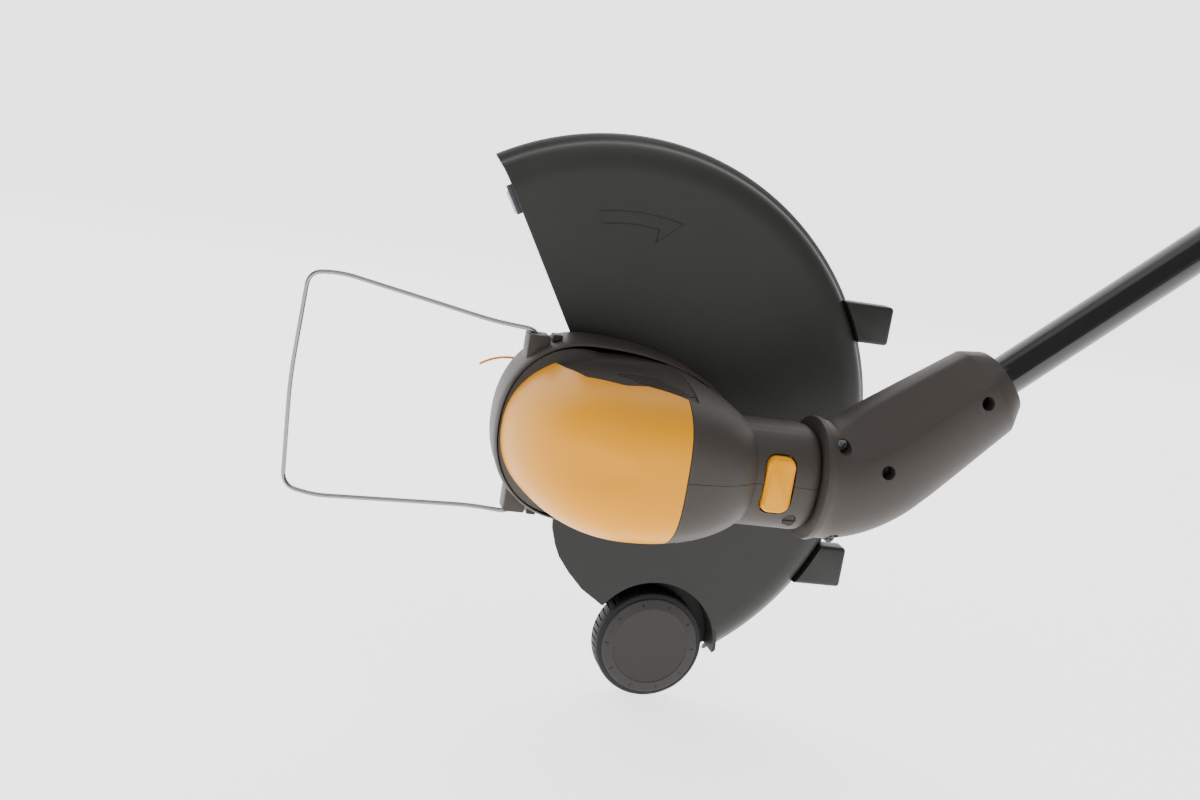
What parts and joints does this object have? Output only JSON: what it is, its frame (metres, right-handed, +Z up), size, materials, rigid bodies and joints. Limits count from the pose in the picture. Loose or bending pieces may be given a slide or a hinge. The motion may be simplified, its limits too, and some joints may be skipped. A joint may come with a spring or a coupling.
{
  "type": "string trimmer",
  "caption": "Electric string trimmer with a swivelling motor head, dished guard, edging wheel, wire plant guard and telescopic boom.",
  "frame": {"origin": "centre of the bump knob's flat face, on the spindle's axis", "axes": "+X rearward along the neck's axis, +Y out of the bump knob along the spindle, +Z up with the head set for edging"},
  "size_m": [1.1166, 0.219, 0.8067],
  "materials": {
    "dark_plastic": "fine moulded grain",
    "guard_plastic": "satin moulded plastic",
    "yellow_plastic": "smooth moulded plastic",
    "black_plastic": "fine moulded grain",
    "hub_plastic": "fine moulded grain",
    "tyre_rubber": "matt",
    "grip_rubber": "matt, ribbed",
    "black_tube": "gloss black coating on aluminium",
    "bright_wire": "bright drawn wire",
    "steel": "zinc plated",
    "dark_steel": "blued",
    "core_steel": "laminated",
    "copper": "enamelled copper",
    "carbon": "pressed carbon",
    "orange_line": "nylon line",
    "cable_rubber": "cable sheath"
  },
  "bodies": {
    "handle": {"upper_tube": "black_tube", "clamp_collar": "black_plastic", "lever_pin": "steel", "front_mount": "black_plastic", "front_bolt": "steel", "handle_left": "dark_plastic", "handle_right": "dark_plastic", "handle_screws": "steel", "grip_pad": "grip_rubber", "switch_box": "black_plastic", "power_inlet": "black_plastic", "strap_eye": "steel", "coiled_lead": "cable_rubber"},
    "clamp_lever": {"clamp_lever": "yellow_plastic"},
    "front_handle": {"front_handle": "grip_rubber"},
    "front_knob": {"front_knob": "black_plastic"},
    "trigger": {"trigger": "yellow_plastic"},
    "lock_button": {"lock_button": "yellow_plastic"},
    "lower_boom": {"lower_tube": "black_tube", "elbow_left": "dark_plastic", "elbow_right": "dark_plastic", "elbow_screws": "dark_steel"},
    "head": {"base_ring": "dark_plastic", "base_screws": "steel", "guard": "guard_plastic", "guard_screws": "steel", "line_cutter": "dark_steel", "cutter_screws": "steel", "wheel_axle": "steel", "guard_clips": "black_plastic", "housing_left": "dark_plastic", "housing_right": "dark_plastic", "housing_screws": "steel", "top_cover": "yellow_plastic", "neck_peg": "dark_plastic", "motor_bracket": "steel", "lower_bearing": "steel", "upper_bearing": "steel", "stator": "core_steel", "field_coils": "copper", "brush_holders": "black_plastic", "brushes": "carbon", "motor_lead": "cable_rubber", "button_spring": "steel"},
    "spindle": {"armature": "core_steel", "commutator": "copper", "fan": "black_plastic", "spool_housing": "black_plastic", "line_eyelets": "steel", "spool": "black_plastic", "line_winding": "orange_line", "cutting_line": "orange_line", "spool_cap": "black_plastic", "bump_spring": "steel"},
    "bump_knob": {"bump_knob": "black_plastic"},
    "wheel": {"wheel_hub": "hub_plastic", "wheel_tyre": "tyre_rubber", "wheel_cap": "hub_plastic"},
    "plant_guard": {"plant_guard": "bright_wire"},
    "release_button": {"release_button": "yellow_plastic"}
  },
  "joints": [
    {"name": "boom_telescope", "type": "slide", "parent": "handle", "child": "lower_boom", "axis": [-0.7638, 0, -0.6455], "range_m": [0, 0.16]},
    {"name": "clamp_lever_hinge", "type": "hinge", "parent": "handle", "child": "clamp_lever", "pos_m": [0.37559, -0.146, 0.23623], "axis": [0, -1, 0], "range_deg": [0, 100]},
    {"name": "front_handle_tilt", "type": "hinge", "parent": "handle", "child": "front_handle", "pos_m": [0.53761, -0.146, 0.3869], "axis": [0, 1, 0], "range_deg": [-30, 30]},
    {"name": "front_knob_turn", "type": "hinge", "parent": "front_handle", "child": "front_knob", "pos_m": [0.53761, -0.0732, 0.3869], "axis": [0, 1, 0], "range_deg": [0, 720]},
    {"name": "trigger_pull", "type": "hinge", "parent": "handle", "child": "trigger", "pos_m": [0.77311, -0.146, 0.52962], "axis": [0, 1, 0], "range_deg": [0, 9], "stiffness_Nm_per_rad": 0.4, "springref_deg": -11.46},
    {"name": "lock_button_press", "type": "slide", "parent": "handle", "child": "lock_button", "axis": [0.6455, 0, -0.7638], "range_m": [0, 0.004], "stiffness_N_per_m": 300, "springref_m": -0.003},
    {"name": "head_swivel", "type": "hinge", "parent": "lower_boom", "child": "head", "pos_m": [0.134, -0.146, 0], "axis": [1, 0, 0], "range_deg": [-90, 0]},
    {"name": "spindle_spin", "type": "hinge", "parent": "head", "child": "spindle", "pos_m": [0, 0, 0], "axis": [0, 1, 0], "continuous": true},
    {"name": "bump_feed", "type": "slide", "parent": "spindle", "child": "bump_knob", "axis": [0, -1, 0], "range_m": [0, 0.004], "stiffness_N_per_m": 1500, "springref_m": -0.003},
    {"name": "wheel_spin", "type": "hinge", "parent": "head", "child": "wheel", "pos_m": [0.0567, -0.032, -0.1534], "axis": [0, 1, 0], "continuous": true},
    {"name": "plant_guard_fold", "type": "hinge", "parent": "head", "child": "plant_guard", "pos_m": [-0.06, -0.08, 0], "axis": [0, 0, 1], "range_deg": [0, 125]},
    {"name": "release_button_press", "type": "slide", "parent": "head", "child": "release_button", "axis": [0, 1, 0], "range_m": [0, 0.003], "stiffness_N_per_m": 800, "springref_m": -0.002}
  ]
}
